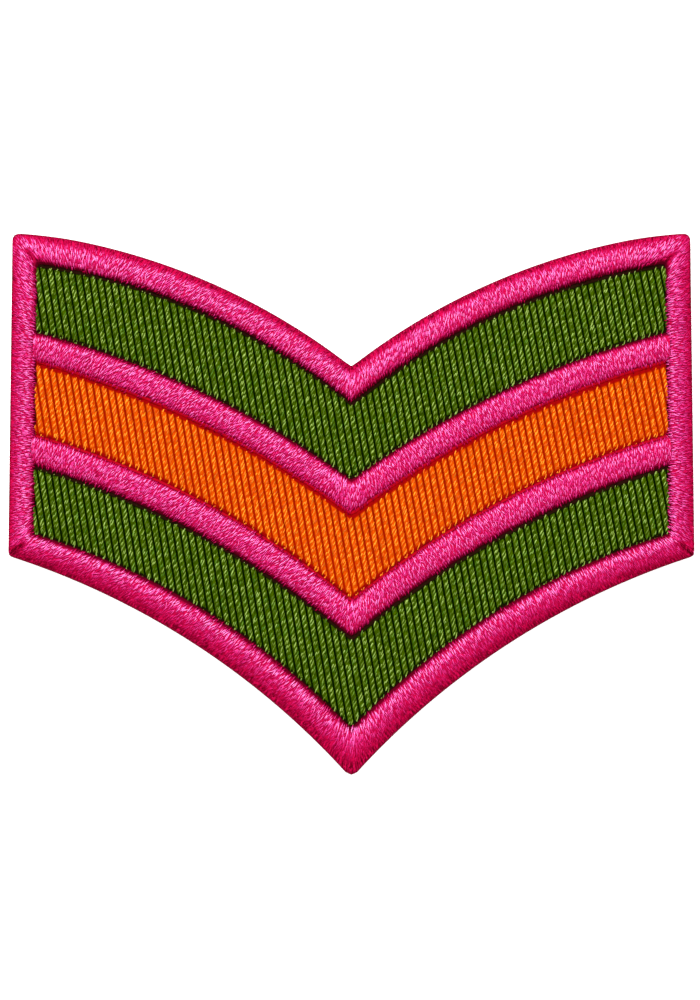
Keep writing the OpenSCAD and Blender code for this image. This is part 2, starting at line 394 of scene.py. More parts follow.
class Plies:
    """The stretches of plies that show on threads, as spindles. Each winds over its thread, by the
    swing in degrees to each side."""

    def __init__(self, sides, rings, swing):
        self.sides = sides
        self.rings = rings
        self.swing = math.radians(swing)
        # Places along a spindle from tip to tip
        self.along = np.concatenate([[-1], -np.cos(np.pi * np.arange(1, rings + 1) / (rings + 1)), [1]])
        # Angles round a ply, which is flat from the last to the first
        self.round = np.radians(np.linspace(-PLY_ROUND, PLY_ROUND, sides))

    def at_points(self, values):
        """Values at places along the spindles, for each point there."""
        return np.concatenate([values[:, :1], np.repeat(values[:, 1:-1], self.sides, 1), values[:, -1:]], 1)

    def faces(self, n):
        """Triangles at the tips and quads between the rings of n spindles."""
        ring = np.arange(self.sides)
        after = (ring + 1) % self.sides
        tip = self.sides * self.rings + 1
        last = tip - self.sides
        tips = np.concatenate([
            np.stack([0 * ring, 1 + after, 1 + ring], -1),
            np.stack([0 * ring + tip, last + ring, last + after], -1),
        ])
        base = (np.arange(n) * (tip + 1))[:, None, None]
        return (tips + base).reshape(-1, 3), (1 + grid(self.rings, self.sides) + base).reshape(-1, 4)

    def make(self, name, material, path, middle, lay, ply_r, helix_r, tone, swerve, aside=0):
        """Object of spindles with their middles at places along threads. path gives the threads'
        points, directions and outward normals at places, and tone the lightness. swerve turns a
        spindle about its middle, and aside moves it round its thread, both in degrees."""
        turn = self.along * self.swing + np.radians(aside + 0 * middle)[:, None]
        places = middle[:, None] + lay[:, None] * turn / (2 * math.pi)
        point, ahead, up = path(places)
        side = np.cross(up, ahead)
        cos = np.cos(turn)[..., None]
        sin = np.sin(turn)[..., None]
        out = cos * up + TWIST * sin * side
        swirl = TWIST * cos * side - sin * up
        ply_ahead = unit(ahead + swirl * (2 * math.pi * helix_r / lay)[:, None, None])
        drift = (places - middle[:, None]) * np.tan(np.radians(swerve))[:, None]
        centre = point + out * helix_r[:, None, None] + side * drift[..., None]
        wide = np.cross(ply_ahead, out)
        thick = ply_r[:, None] * np.sqrt(np.clip(1 - self.along**PLY_BLUNT, 0, 1))
        body = centre[:, 1:-1, None] + thick[:, 1:-1, None, None] * (
            np.cos(self.round)[:, None] * out[:, 1:-1, None]
            + np.sin(self.round)[:, None] * wide[:, 1:-1, None]
        )
        crest = ((body - point[:, 1:-1, None]) * up[:, 1:-1, None]).sum(-1)
        crest = crest / (ply_r + helix_r)[:, None, None]
        n = len(middle)
        points = np.concatenate([centre[:, :1], body.reshape(n, -1, 3), centre[:, -1:]], 1)
        around = np.pad(np.tile(self.round / self.round[-1], self.rings), 1)
        number = np.arange(n)[:, None] * NUMBER_STEP
        strand = np.stack([around + 0 * number, self.at_points(places), number + 0 * around], -1)
        fields = {
            "tone": self.at_points(tone(places)),
            "crest": np.pad(crest.reshape(n, -1), ((0, 0), (1, 1))),
            "strand": strand,
        }
        triangles, quads = self.faces(n)
        return mesh_object(name, points, quads, material, fields, triangles)


def even_tones(n, turns):
    """Lightness from 0 to 1 of the plies of n threads, unlike that of their neighbours."""
    draw = chance.uniform(0, 1, (n, turns))
    beside = sum(np.roll(draw, way, axis) for axis in (0, 1) for way in (-1, 1))
    return np.argsort(np.argsort((draw - TONE_APART * beside).ravel())) / (n * turns)


def from_end(share, end):
    """Share of the way from a band's start or end."""
    return share if end == "start" else 1 - share


def spots(lengths, pitch, spread):
    """Shares along a band where threads lie, a pitch apart, with a spread in pitches. lengths are
    the distances along it."""
    n = int(lengths[-1] / pitch)
    spot = (np.arange(n) + 0.5 + chance.normal(0, spread, n)) * lengths[-1] / n
    return np.clip(np.interp(spot, lengths, SHARES), END_SHARE, 1 - END_SHARE)


class SatinThreads:
    """Threads across a half band. angles are those of the plies that show, as in the tables below.
    mitres are the band's ends where threads turn into a mitre."""

    def __init__(self, band, angles, path, width, mitres):
        self.band = band
        self.course = Course(path, width)
        self.share = spots(band.lengths, THREAD_PITCH, PITCH_SPREAD)
        n = len(self.share)
        turned = np.interp(self.share, *np.transpose(angles)) + PLY_TURN
        self.lay_across(np.radians(turned + chance.normal(0, TURN_SPREAD, n)), mitres)
        self.lift = chance.normal(0, LIFT_SPREAD, n)
        self.lay = THREAD_LAY * chance.normal(1, LAY_SPREAD, n)
        self.gauge = chance.normal(1, GAUGE_SPREAD, n)
        longer = REACH_STEP * (np.arange(n) % 2 - 0.5)
        self.inner_reach, self.outer_reach = 1 + longer + chance.normal(0, REACH_SPREAD, (2, n))
        if path is BORDER_PATH:
            self.outer_reach = np.ones(n)

    def lay_across(self, angle, mitres):
        """Slide each thread along the band on its way across, so that it lies at its angle, but no
        further than the end at a mitre. Find which side is up."""
        place = self.band.place
        before, after = (place(self.share + way * END_SHARE, 0.5, 0) for way in (-1, 1))
        along = (after - before)[:, :2] / (2 * END_SHARE)
        cross = (place(self.share, 1, 0) - place(self.share, 0, 0))[:, :2]
        aim = np.stack([np.cos(angle), np.sin(angle)], -1)
        room = np.inf
        for end in mitres:
            room = np.minimum(room, 2 * from_end(self.share, end))
        self.slide = np.clip(-np.cross(cross, aim) / np.cross(along, aim), -room, room)
        self.flip = np.where(np.cross(along, cross) < 0, 1.0, -1.0)

    def choose_plies(self, cover, shifts):
        """Choose the plies that show, and their places, directions, heights and lightness."""
        n = len(self.share)
        length = self.course.length
        turns = int(length / (THREAD_LAY / THREAD_PLIES)) + 1
        thread = np.repeat(np.arange(n), turns)
        turn = np.tile(np.arange(turns), n)
        middle = (turn + chance.uniform(0, 1, n)[thread]) * self.lay[thread] / THREAD_PLIES
        middle += chance.normal(0, PLACE_SPREAD, len(middle))
        across = self.course.across(middle)
        self.shift = np.zeros(n)
        for end, (most, room) in shifts.items():
            away = self.band.length * from_end(self.share, end)
            self.shift += most * np.clip(1 - away / room, 0, 1)
        shown = np.interp(across - np.minimum(self.shift[thread], 0), cover[:, 0], cover[:, 1])
        bare = self.lay[thread] * BARE_END
        drawn = chance.uniform(0, 1, len(middle)) < shown
        kept = (middle > bare) & (middle < length - bare) & drawn
        self.thread, self.middle, across = thread[kept], middle[kept], across[kept]
        m = len(across)
        stray = chance.uniform(0, 1, m) < STRAY_SHARE
        spread = np.interp(across, CROWN, [SWERVE, CROWN_SWERVE, CROWN_SWERVE, SWERVE])
        self.swerve = chance.normal(0, 1, m) * np.where(stray, STRAY_SWERVE, spread)
        self.height = self.lift[self.thread] + chance.normal(0, LIFT_SPREAD, m) + stray * STRAY_LIFT
        self.tone = TONE_LOW + (1 - TONE_LOW) * even_tones(n, turns)[kept]

    def spot_at(self, places):
        """Shares along and across the band at places along the plies' threads."""
        thread = self.thread[:, None]
        v = self.course.across(places) - 0.5
        v = 0.5 + v * np.where(v > 0, self.inner_reach[thread], self.outer_reach[thread])
        return self.share[thread] + self.slide[thread] * (v - 0.5), v

    def path_at(self, places):
        """Points there."""
        q, v = self.spot_at(places)
        return self.band.place(q, v, self.course.height(places) + self.height[:, None])

    def frame_at(self, places):
        """Points, directions and outward normals there."""
        near = np.clip(places, NEAR, self.course.length - NEAR)
        ahead = unit(self.path_at(near + NEAR) - self.path_at(near - NEAR))
        q, v = self.spot_at(places)
        z = self.course.height(places)
        beside = unit(self.band.place(q + NEAR_SHARE, v, z) - self.band.place(q - NEAR_SHARE, v, z))
        up = unit(np.cross(beside, ahead))
        return self.path_at(places), ahead, up * self.flip[self.thread][:, None, None]

    def make(self, name, cover, painted_mitre_shades, shifts, material):
        """The object, with cover, painted_mitre_shades and shifts as in the tables below; the cover's
        lightness is painted light and shade. Shifts move the chance outwards alone, so that no ply lies
        past the inner edge."""
        cover = np.array(cover)
        self.choose_plies(cover, shifts)

        def tone_at(places):
            q, v = self.spot_at(places)
            at = self.course.across(places) - self.shift[self.thread, None]
            # Painted light and shade across the band, from the cover's lightness
            light = self.tone[:, None] * np.interp(at, cover[:, 0], cover[:, 2])
            # Painted shade in the creases of the mitres
            for end, (first, last, room) in painted_mitre_shades.items():
                away = self.band.length * from_end(q, end)
                painted_crevice_shade = np.clip(np.minimum(v - first, last - v) / MITRE_SHADE_FADE, 0, 1)
                light = light * (1 - painted_crevice_shade * (1 - np.clip(away / room, 0, 1) ** MITRE_SHADE_POWER))
            return light

        gauge = self.gauge[self.thread] * chance.normal(1, PLY_GAUGE_SPREAD, len(self.thread))
        return Plies(4, 3, PLY_SWING).make(
            name, material, self.frame_at, self.middle, self.lay[self.thread], PLY_R * gauge,
            HELIX_R * gauge, tone_at, self.swerve,
        )


# Turns of thread round the border's rim: share of the width from its outer edge, and height
TURN_PATH = [
    (0.105, 1.14), (0.075, 1.1), (0.052, 0.98), (0.043, 0.78), (0.043, 0.5), (0.052, 0.28), (0.095, 0.17),
]
TURN_PITCH = 0.2
TURN_R = 0.15
TURN_HELIX_R = 0.01
# How far a turn winds to each side, in degrees, and the share of the path that it covers
TURN_SWING = 100
TURN_LENGTH = 0.98
# Spread of places, in pitches, and of gauge
TURN_PITCH_SPREAD = 0.1
TURN_GAUGE_SPREAD = 0.06
# Lightness of light turns, of dark turns, which are painted shadow between the lit ones, and of a turn's
# top, and the share that the top takes
TURN_LIGHT = (0.6, 1)
TURN_PAINTED_SHADOW = (0.05, 0.25)
TURN_TOP = 0.3
TURN_TOP_SHARE = 0.2


def rim_turns(name, band, width, light_every, painted_dimming, material):
    """Turns of thread round a half band's rim. One in light_every is light, and the rest are dark with
    painted shadow. All lose the share painted_dimming of their lightness, a painted shade."""
    course = Course(TURN_PATH, width)
    share = spots(travelled(band.outer(SHARES)), TURN_PITCH, TURN_PITCH_SPREAD)[:, None]
    n = len(share)

    def path_at(places):
        return band.place(share + 0 * places, course.across(places), course.height(places))

    def frame_at(places):
        ahead = unit(path_at(places + NEAR) - path_at(places - NEAR))
        before, after = (band.place(share + way * NEAR_SHARE, 0, 0) for way in (-1, 1))
        up = unit(np.cross(unit(after - before), ahead))
        outside = band.place(share, 0, 0) - band.place(share, 1, 0)
        middle = up[:, places.shape[1] // 2, None]
        flip = np.sign((middle * outside).sum(-1))
        return path_at(places), ahead, up * flip[..., None]

    lay = np.full(n, TURN_LENGTH * course.length * 360 / (2 * TURN_SWING))
    light, dark = (chance.uniform(*bounds, n) for bounds in (TURN_LIGHT, TURN_PAINTED_SHADOW))
    # Dark turns and the lost share are painted shade along the rim
    tone = (np.where(np.arange(n) % light_every == 0, light, dark) * (1 - painted_dimming))[:, None]

    def tone_at(places):
        top = np.clip(1 - places / (TURN_TOP_SHARE * course.length), 0, 1)
        return tone + (TURN_TOP - tone) * top

    gauge = TURN_R * chance.normal(1, TURN_GAUGE_SPREAD, n)
    middle = np.full(n, course.length / 2)
    helix = np.full(n, TURN_HELIX_R)
    return Plies(4, 5, TURN_SWING).make(
        name, material, frame_at, middle, lay, gauge, helix, tone_at, np.zeros(n)
    )


class Material:
    """A new material, and calls that add nodes and return their outputs."""

    def __init__(self, name):
        self.data = bpy.data.materials.new(name)
        self.data.use_nodes = True
        self.tree = self.data.node_tree
        self.shader = self.tree.nodes["Principled BSDF"]

    def feed(self, node, values):
        """Set a node's inputs to values, or link them to outputs."""
        for socket, value in values.items():
            if isinstance(value, bpy.types.NodeSocket):
                self.tree.links.new(value, node.inputs[socket])
            else:
                node.inputs[socket].default_value = value

    def node(self, kind, values, **settings):
        """A new node."""
        node = self.tree.nodes.new(kind)
        for setting, value in settings.items():
            setattr(node, setting, value)
        self.feed(node, values)
        return node

    def field(self, name, output="Fac"):
        """A vertex field."""
        return self.node("ShaderNodeAttribute", {}, attribute_name=name).outputs[output]

    def place(self):
        """Place on the object."""
        return self.node("ShaderNodeTexCoord", {}).outputs["Object"]

    def noise(self, vector, scale, detail):
        """Noise from 0 to 1."""
        values = {"Vector": vector, "Scale": scale, "Detail": detail}
        return self.node("ShaderNodeTexNoise", values).outputs["Fac"]

    def ramp(self, value, stops):
        """Colour of a value between (place, linear colour) stops."""
        node = self.node("ShaderNodeValToRGB", {"Fac": value})
        elements = node.color_ramp.elements
        while len(elements) < len(stops):
            elements.new(0.5)
        for element, (place, colour) in zip(elements, stops):
            element.position = place
            element.color = (*colour, 1)
        return node.outputs["Color"]

    def rise(self, value, low, high):
        """Rises smoothly from 0 to 1 as a value goes from low to high."""
        values = {"Value": value, "From Min": low, "From Max": high}
        return self.node("ShaderNodeMapRange", values, interpolation_type="SMOOTHSTEP").outputs["Result"]

    def mix(self, factor, a, b, kind="MIX"):
        """Mix of two colours."""
        node = self.node("ShaderNodeMix", {}, data_type="RGBA", blend_type=kind)
        a, b = (c if isinstance(c, bpy.types.NodeSocket) else (*c, 1) for c in (a, b))
        self.feed(node, {"Factor": factor, "A": a, "B": b})
        return node.outputs["Result"]

    def product(self, a, b):
        """Two values multiplied."""
        return self.node("ShaderNodeMath", {0: a, 1: b}, operation="MULTIPLY").outputs["Value"]

    def finish(self, colour, height, strength, depth, values):
        """The material, with its colour, bump and other values."""
        bump = self.node("ShaderNodeBump", {"Height": height, "Strength": strength, "Distance": depth})
        self.feed(self.shader, {"Base Color": colour, "Normal": bump.outputs["Normal"], **values})
        return self.data


# Height on a thread from which a ply's ridge gets a painted highlight, and at which it is lightest
PAINTED_HIGHLIGHT_HEIGHTS = (0.3, 0.9)
# Fineness of the areas that differ in lightness
CLUMP_SCALE = 420
# Strength and depth in metres of the bump of filaments, and of what lies below the threads
FILAMENT_BUMP = (0.5, 0.00003)
BASE_BUMP = (0.6, 0.0001)
# Range beyond the sides of a ply, for plies whose painted highlight and painted shade don't fade there
NO_FADE = (2.0, 3.0)


def thread_material(name, painted_crevice_shade, stops, ridge, painted_highlight_tones, painted_shade_heights, grain, clump, roughness, painted_highlight_width=NO_FADE,
                    painted_side_shade=NO_FADE, odd=(0.0, (1, 1, 1)), metal=0.0, specular=0.0):
    """Twisted thread. painted_crevice_shade is the painted shade between plies, stops are those from the
    darkest ply to the lightest, and ridge is the painted highlight on the ridges. painted_highlight_tones
    is the lightness between which ridges get the painted highlight, and painted_shade_heights the height on
    a thread between which plies leave the painted shade. grain is the filaments' fineness across and along
    a ply, and their contrast. clump is how much areas differ. painted_highlight_width and
    painted_side_shade say between which places round a ply, from 0 to 1, the painted highlight fades and
    the painted shade comes. odd is the share of plies with another tint, and the tint."""
    made = Material(name)
    areas = made.node("ShaderNodeMapRange", {
        "Value": made.noise(made.place(), CLUMP_SCALE, 2.0), "From Min": 0.3, "From Max": 0.7,
        "To Min": 1 - clump, "To Max": 1 + clump,
    })
    light = made.product(made.field("tone"), areas.outputs["Result"])
    tones = made.ramp(light, stops)
    strand = made.field("strand", "Vector")
    split = made.node("ShaderNodeSeparateXYZ", {"Vector": strand})
    share, tint = odd
    pick = made.node("ShaderNodeTexWhiteNoise", {}, noise_dimensions="1D")
    made.feed(pick, {"W": split.outputs["Z"]})
    chosen = made.rise(pick.outputs["Value"], 1 - share, 1.001 - share)
    colour = made.mix(chosen, tones, made.mix(1.0, tones, tint, "MULTIPLY"))

    crest = made.field("crest")
    beside = made.node("ShaderNodeMath", {0: split.outputs["X"]}, operation="ABSOLUTE").outputs["Value"]
    # Painted shade between plies: deepest low on a thread and at the sides of a ply
    unshaded = made.product(made.rise(crest, *painted_shade_heights), made.rise(beside, *painted_side_shade[::-1]))
    shaded = made.mix(unshaded, painted_crevice_shade, colour)
    # Painted highlight along the crests of the lighter plies
    painted_highlight = made.product(made.rise(crest, *PAINTED_HIGHLIGHT_HEIGHTS), made.rise(light, *painted_highlight_tones))
    painted_highlight = made.product(painted_highlight, made.rise(beside, *painted_highlight_width[::-1]))
    lit = made.mix(painted_highlight, shaded, ridge)

    fine, long, contrast = grain
    stretch = made.node("ShaderNodeMapping", {"Vector": strand, "Scale": (fine, long, 5.0)})
    filaments = made.noise(stretch.outputs["Vector"], 1.0, 2.0)
    grained = made.ramp(filaments, [(0.3, (1 - contrast,) * 3), (0.7, (1 + contrast,) * 3)])
    values = {"Roughness": roughness, "Metallic": metal, "Specular IOR Level": specular}
    return made.finish(made.mix(1.0, lit, grained, "MULTIPLY"), filaments, *FILAMENT_BUMP, values)


def base_material(name, dark, light, edge, painted_shadow_bounce, streaks):
    """What lies under the plies. The field rim is its painted shade: its colour is edge, a painted shade,
    where rim is 0.5, and painted_shadow_bounce, a painted shadow with light bounced from beside it, where
    it is 1. streaks gives their angle from +Y towards +X in degrees, and fineness across and along."""
    made = Material(name)
    angle, across, along = streaks
    turned = made.node("ShaderNodeMapping", {}, vector_type="TEXTURE")
    made.feed(turned, {
        "Vector": made.place(), "Rotation": (0, 0, -math.radians(angle)),
        "Scale": (1 / across, 1 / along, 1 / across),
    })
    noise = made.noise(turned.outputs["Vector"], 1.0, 3.0)
    tones = made.ramp(noise, [(0.35, dark), (0.65, light)])
    # Painted shade where the field rim is set: dark at edges and in valleys, and shadow lit by bounced
    # light at far edges
    rim = made.field("rim")
    edges = made.ramp(rim, [(0.5, edge), (1.0, painted_shadow_bounce)])
    colour = made.mix(made.product(rim, 2.0), tones, edges)
    return made.finish(colour, noise, *BASE_BUMP, {"Roughness": 0.9, "Specular IOR Level": 0.0})


satin = thread_material(
    "satin_thread", painted_crevice_shade=(0.34, 0.0008, 0.03),
    stops=[(0, (0.09, 0.0003, 0.006)), (0.05, (0.22, 0.0005, 0.017)), (0.12, (0.44, 0.0015, 0.05)),
           (0.3, (0.62, 0.011, 0.135)), (0.55, (0.74, 0.038, 0.265)), (0.8, (0.86, 0.078, 0.39)),
           (1, (0.98, 0.13, 0.52))],
    ridge=(1, 0.31, 0.69), painted_highlight_tones=(0.45, 1.2), painted_shade_heights=(-0.3, 0.3), grain=(1, 2.4, 0.22), clump=0.05,
    roughness=0.38, metal=0.2,
)
rim_satin = thread_material(
    "rim_thread", painted_crevice_shade=(0.06, 0, 0.01),
    stops=[(0, (0.12, 0.001, 0.022)), (0.3, (0.34, 0.0015, 0.04)), (0.6, (0.62, 0.02, 0.14)),
           (1, (0.95, 0.12, 0.38))],
    ridge=(1, 0.35, 0.65), painted_highlight_tones=(0.35, 1.05), painted_shade_heights=(-0.2, 0.3), grain=(1, 0.9, 0.1), clump=0.1,
    roughness=0.5, metal=0.1,
)
# Its edge colours are painted shade, the far one a painted shadow with light bounced off the orange stripe
satin_base = base_material(
    "satin_core", dark=(0.36, 0.0008, 0.03), light=(0.52, 0.004, 0.066), edge=(0.1, 0.0006, 0.009),
    painted_shadow_bounce=(0.55, 0.003, 0.014), streaks=(0, 5000, 5000),
)
# What the green and the orange twill thread share
TWILL_LOOKS = {
    "painted_highlight_tones": (0.3, 1.2), "painted_shade_heights": (-0.2, 0.5), "clump": 0.08, "roughness": 0.45, "painted_highlight_width": (0.15, 0.8),
    "painted_side_shade": (0.4, 0.95), "specular": 0.15,
}
TWILL_STREAKS = (23, 4500, 1500)
green = thread_material(
    "green_thread", painted_crevice_shade=(0.006, 0.018, 0),
    stops=[(0, (0.02, 0.044, 0)), (0.5, (0.084, 0.148, 0.001)), (1, (0.126, 0.204, 0.006))],
    ridge=(0.31, 0.44, 0.1), grain=(1.5, 1, 0.25), odd=(0.2, (0.7, 1.1, 1.8)), **TWILL_LOOKS,
)
# Its edge colours are painted shade in the valleys and painted shadow with light bounced off the bands
green_base = base_material(
    "green_cloth", dark=(0.013, 0.032, 0), light=(0.044, 0.084, 0), edge=(0.001, 0.006, 0),
    painted_shadow_bounce=(0.014, 0.004, 0.002), streaks=TWILL_STREAKS,
)
orange = thread_material(
    "orange_thread", painted_crevice_shade=(0.32, 0.012, 0),
    stops=[(0, (0.4, 0.028, 0)), (0.5, (0.69, 0.13, 0.001)), (1, (0.82, 0.19, 0.003))],
    ridge=(1, 0.32, 0.02), grain=(1.5, 1, 0.2), odd=(0.2, (0.9, 1.3, 1)), **TWILL_LOOKS,
)
# Its edge colours are painted shade in the valleys and painted shadow with light bounced off the bands
orange_base = base_material(
    "orange_cloth", dark=(0.41, 0.03, 0), light=(0.57, 0.074, 0.001), edge=(0.29, 0.006, 0),
    painted_shadow_bounce=(0.24, 0.0015, 0.002), streaks=TWILL_STREAKS,
)


# Angles of the satin's plies in plan, in degrees from +X, at shares along each half band
TOP_ANGLES = {
    "left": [(0, 90), (0.03, 60), (0.09, 44), (0.2, 42), (0.4, 42), (0.55, 44), (0.66, 48), (0.71, 58),
             (0.77, 88), (0.92, 100), (0.97, 118), (1, 127)],
    "right": [(0, 90), (0.03, 105), (0.07, 106), (0.12, 82), (0.26, 80), (0.34, 98), (0.4, 108),
              (0.7, 107), (0.82, 98), (0.88, 74), (0.94, 52), (1, 45)],
}
SIDE_ANGLES = {
    "left": [(0, 127), (0.06, 132), (0.11, 140), (0.16, 152), (0.27, 166), (0.42, 172), (0.58, 175),
             (0.74, 181), (0.85, 190), (0.92, 200), (0.97, 215), (1, 222)],
    "right": [(0, 45), (0.06, 38), (0.1, 33), (0.15, 22), (0.27, 14), (0.42, 10), (0.58, 6), (0.74, 3),
              (0.84, -3), (0.93, -30), (1, -43)],
}
FOOT_ANGLES = {
    "left": [(0, 90), (0.02, 75), (0.07, 52), (0.2, 42), (0.5, 40), (0.75, 38), (0.88, 36), (1, 35)],
    "right": [(0, 90), (0.03, 100), (0.07, 110), (0.19, 120), (0.35, 124), (0.5, 122), (0.65, 120),
              (0.85, 119), (0.93, 125), (1, 137)],
}
UPPER_BAR_ANGLES = {
    "left": [(0, 90), (0.04, 75), (0.1, 46), (0.3, 40), (0.72, 40), (0.85, 60), (1, 78)],
    "right": [(0, 90), (0.05, 104), (0.15, 114), (0.3, 120), (0.5, 115), (0.65, 112), (0.8, 110), (1, 106)],
}
LOWER_BAR_ANGLES = {
    "left": [(0, 90), (0.03, 60), (0.1, 40), (0.6, 40), (0.75, 46), (0.85, 68), (1, 80)],
    "right": [(0, 90), (0.05, 104), (0.15, 114), (0.3, 117), (0.45, 118), (0.6, 108), (0.75, 104), (1, 99)],
}
# The plies on top: share across a band from its outer or upper edge, chance of one, its lightness. The
# lightness is painted light and shade: lightest on the crown that faces the light, darker on the flanks
# and edges in shade
TOP_COVER = {
    "left": [
        (0.06, 0.8, 0.13), (0.17, 0.8, 0.14), (0.24, 0.9, 0.55), (0.31, 1, 1), (0.44, 1, 1.2),
        (0.6, 1, 1.05), (0.78, 1, 0.85), (0.87, 1, 0.6), (0.92, 1, 0.25), (0.95, 0.6, 0.1), (0.98, 0, 0.05),
    ],
    "right": [
        (0.06, 0.8, 0.06), (0.15, 0.8, 0.08), (0.22, 0.9, 0.5), (0.3, 1, 0.95), (0.44, 1, 1.3),
        (0.58, 1, 1.05), (0.74, 1, 0.8), (0.83, 1, 0.55), (0.9, 1, 0.2), (0.95, 0.6, 0.07), (0.98, 0, 0.05),
    ],
}
SIDE_COVER = {
    "left": [
        (0.05, 0.8, 0.04), (0.12, 0.9, 0.22), (0.19, 1, 0.5), (0.37, 1, 0.8), (0.56, 1, 1), (0.75, 1, 0.95),
        (0.87, 1, 0.65), (0.91, 0.9, 0.3), (0.94, 0.3, 0.15), (0.96, 0, 0.1),
    ],
    "right": [
        (0.05, 0.8, 0.02), (0.12, 0.9, 0.2), (0.24, 1, 0.48), (0.37, 1, 0.66), (0.56, 1, 0.8), (0.75, 1, 1),
        (0.89, 1, 0.95), (0.93, 1, 0.6), (0.96, 0.3, 0.3), (0.975, 0, 0.2),
    ],
}
FOOT_COVER = dict.fromkeys(HANDS, [
    (0.05, 1, 0.05), (0.12, 1, 0.07), (0.2, 1, 0.17), (0.35, 1, 0.42), (0.45, 1, 0.56), (0.59, 1, 0.78),
    (0.72, 1, 1.3), (0.8, 1, 1.35), (0.84, 0.9, 0.9), (0.88, 0.6, 0.35), (0.92, 0.4, 0.1), (0.95, 0, 0.05),
])
BAR_COVER = [
    (0.07, 0, 0.05), (0.09, 0.4, 0.06), (0.12, 0.5, 0.2), (0.15, 0.8, 0.5), (0.19, 1, 0.9), (0.23, 1, 1.3),
    (0.3, 1, 1.2), (0.45, 1, 0.96), (0.64, 1, 0.85), (0.78, 1, 0.76), (0.84, 1, 0.62), (0.88, 1, 0.4),
    (0.92, 0.7, 0.22), (0.95, 0.3, 0.2), (0.97, 0, 0.2),
]

# Heights of the stitching under the cloth, and of the slot that holds the cloth
BACK_Z = 0.06
SLOT_Z = 0.24
SLOT_TOP = 0.82
# How far a bar's core lies below the middle line of its threads
CORE_DROP = 0.03
border_section = CORE_PATH + [
    (0.15, BACK_Z), (0.97, BACK_Z), (0.97, SLOT_Z), (0.16, SLOT_Z), (0.16, SLOT_TOP),
]
bar_section = [(0.93, SLOT_TOP), (0.98, 0.9), (0.95, 1.06), (0.91, 1.24)]
bar_section += [(v, z - CORE_DROP) for v, z in BAR_PATH[4:-2]]
bar_section += [
    (0.05, 0.88), (0.09, SLOT_TOP), (0.45, SLOT_TOP), (0.45, SLOT_Z), (0.05, SLOT_Z), (0.05, BACK_Z),
    (0.95, BACK_Z), (0.95, SLOT_Z), (0.55, SLOT_Z), (0.55, SLOT_TOP),
]
# Shares across between which the painted shade at a core's edges fades
BORDER_SHADE_FADES = (0.03, 0.075, 0.85, 0.90)
BAR_SHADE_FADES = (0.13, 0.18, 0.83, 0.90)
# Stations along a core in each half band
STATIONS = 60


def core(name, stations, section, closed, shade_fades, painted_edge_shades):
    """Stitching under threads: a section of shares across and heights, stretched between two rails.
    Its field rim, the share of painted shade, has the values painted_edge_shades at its edges, and is 0
    between the shade_fades."""
    outer, inner = stations
    shares = np.array(section)
    points = outer[:, None] + (inner - outer)[:, None] * shares[None, :, :1]
    heights = np.broadcast_to(shares[None, :, 1:], (*points.shape[:2], 1))
    points = np.concatenate([points, heights], -1)
    rows, n = points.shape[:2]
    rim = np.interp(shares[:, 0], shade_fades, [painted_edge_shades[0], 0, 0, painted_edge_shades[1]])
    return mesh_object(name, points, grid(rows, n, closed), satin_base, {"rim": np.tile(rim, rows)})


def half_rails(band):
    """Points of a half band's two rails, in plan."""
    share = np.linspace(0, 1, STATIONS)
    return tuple(band.place(share, across, 0)[:, :2] for across in (0, 1))


def border_stations(bands):
    """Rail points all the way round the border."""
    course = [("left", "top", 1), ("left", "side", 1), ("left", "foot", -1),
              ("right", "foot", 1), ("right", "side", -1), ("right", "top", -1)]
    rails = [[rail[::way][:-1] for rail in half_rails(bands[side][part])] for side, part, way in course]
    return tuple(np.concatenate(parts) for parts in zip(*rails))


def bar_stations(bands):
    """Rail points from the left end of a bar to its right end."""
    pairs = [half_rails(bands[side]) for side in HANDS]
    return tuple(np.concatenate([left[::-1], right[1:]]) for left, right in zip(*pairs))


# Mitres with painted shade in their crease: the shares across between which they are dark, and their width
UPPER_MITRE_SHADE = (0.4, 1.2, 0.6)
LOWER_MITRE_SHADE = (-0.2, 0.72, 0.8)
# Shifts of the cover inwards at the upper corners and at the point, and over what length
UPPER_SHIFT = (-0.13, 4.0)
POINT_SHIFT = (0.1, 3.5)
BORDER_THREADS = {
    # angles, width, cover, mitres with painted shade, shifts of the cover
    "top": (TOP_ANGLES, BORDER_W, TOP_COVER, {"end": UPPER_MITRE_SHADE}, {"end": UPPER_SHIFT}),
    "side": (SIDE_ANGLES, SIDE_BORDER_W, SIDE_COVER, {"start": UPPER_MITRE_SHADE, "end": LOWER_MITRE_SHADE},
             {"start": UPPER_SHIFT}),
    "foot": (FOOT_ANGLES, BORDER_W, FOOT_COVER, {"end": LOWER_MITRE_SHADE}, {"start": POINT_SHIFT}),
}
BAR_THREADS = {
    # angles, width
    "upper": (UPPER_BAR_ANGLES, UPPER_BAR_W),
    "lower": (LOWER_BAR_ANGLES, LOWER_BAR_W),
}
RIM = {
    # the band's width, one turn in how many is light, the share of lightness that all lose as painted shade
    "left": {"top": (BORDER_W, 3, 0), "side": (SIDE_BORDER_W, 1, 0.6), "foot": (BORDER_W, 1, 0.75)},
    "right": {"top": (BORDER_W, 3, 0), "side": (SIDE_BORDER_W, 4, 0), "foot": (BORDER_W, 1, 0.75)},
}

borders = {side: border_bands(hand) for side, hand in HANDS.items()}
bars = {"upper": bar_bands(UPPER_BAR, UPPER_BAR_LOW), "lower": bar_bands(LOWER_BAR, LOWER_BAR_LOW)}
